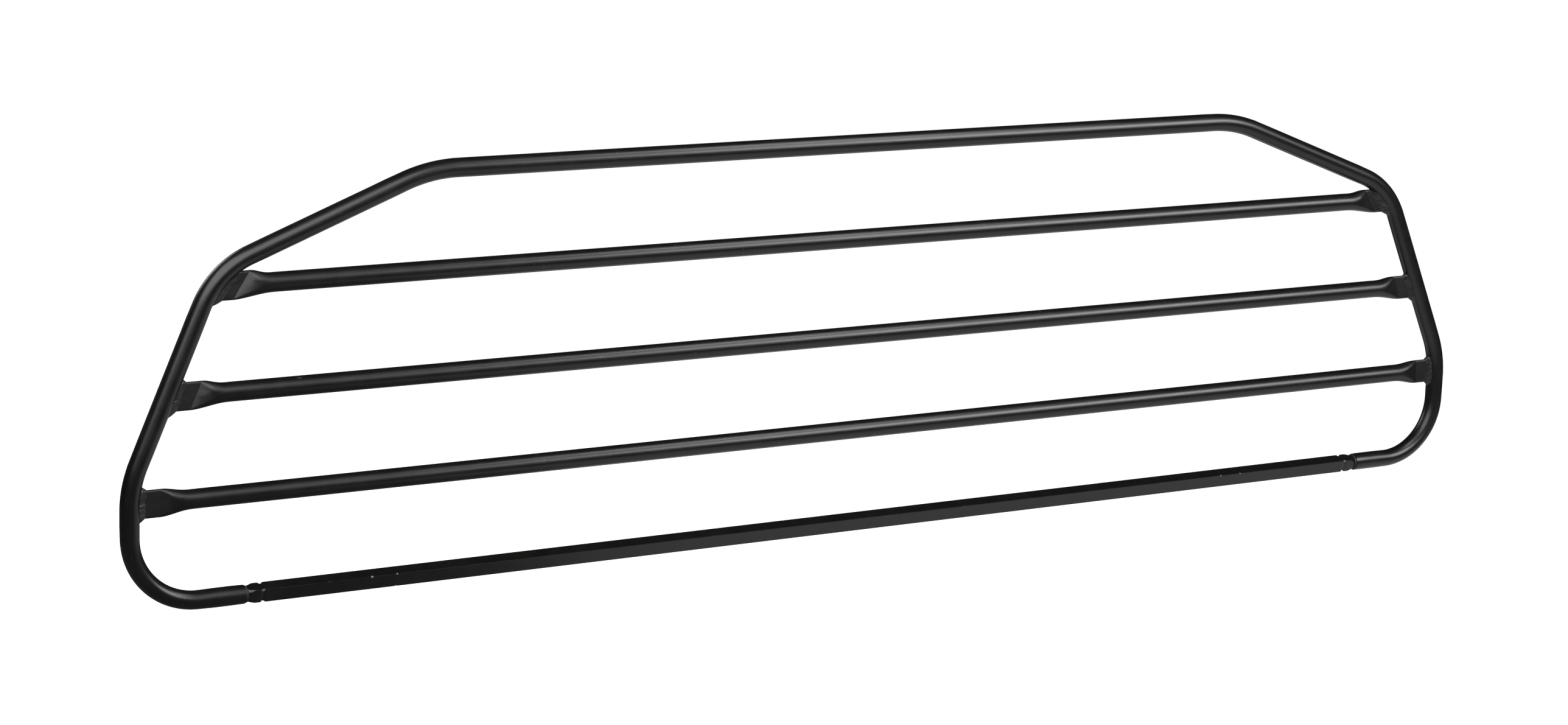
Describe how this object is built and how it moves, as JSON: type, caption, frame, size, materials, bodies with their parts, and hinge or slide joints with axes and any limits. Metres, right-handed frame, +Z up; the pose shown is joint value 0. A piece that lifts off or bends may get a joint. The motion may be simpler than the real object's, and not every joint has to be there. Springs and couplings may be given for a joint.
{
  "type": "folding luggage rack",
  "caption": "Upright panel of bent round tube with level crossbars pressed flat and welded at their ends, folding on a square bar held by clamps, for guarding or strapping luggage.",
  "frame": {"origin": "middle of the square mounting bar, on the fold axis", "axes": "+X along the bar, +Z up the standing panel, -Y towards the viewer's side"},
  "size_m": [1.324, 0.0166, 0.353],
  "materials": {
    "frame_paint": "satin black powder coat with a fine grain",
    "bar_paint": "satin black powder coat, nicked where clamps sat",
    "weld_paint": "satin black powder coat over a rippled weld bead",
    "bush_plastic": "matt black moulded plastic"
  },
  "bodies": {
    "mounting_bar": {"square_bar": "bar_paint"},
    "rack": {"hoop_tube": "frame_paint", "crossbar_lower": "frame_paint", "crossbar_middle": "frame_paint", "crossbar_upper": "frame_paint", "pivot_bush_left": "bush_plastic", "pivot_bush_right": "bush_plastic", "weld_lower_left": "weld_paint", "weld_lower_right": "weld_paint", "weld_middle_left": "weld_paint", "weld_middle_right": "weld_paint", "weld_upper_left": "weld_paint", "weld_upper_right": "weld_paint"}
  },
  "joints": [
    {"name": "rack_fold", "type": "hinge", "parent": "mounting_bar", "child": "rack", "pos_m": [0, 0, 0], "axis": [1, 0, 0], "range_deg": [-74, 106]}
  ]
}
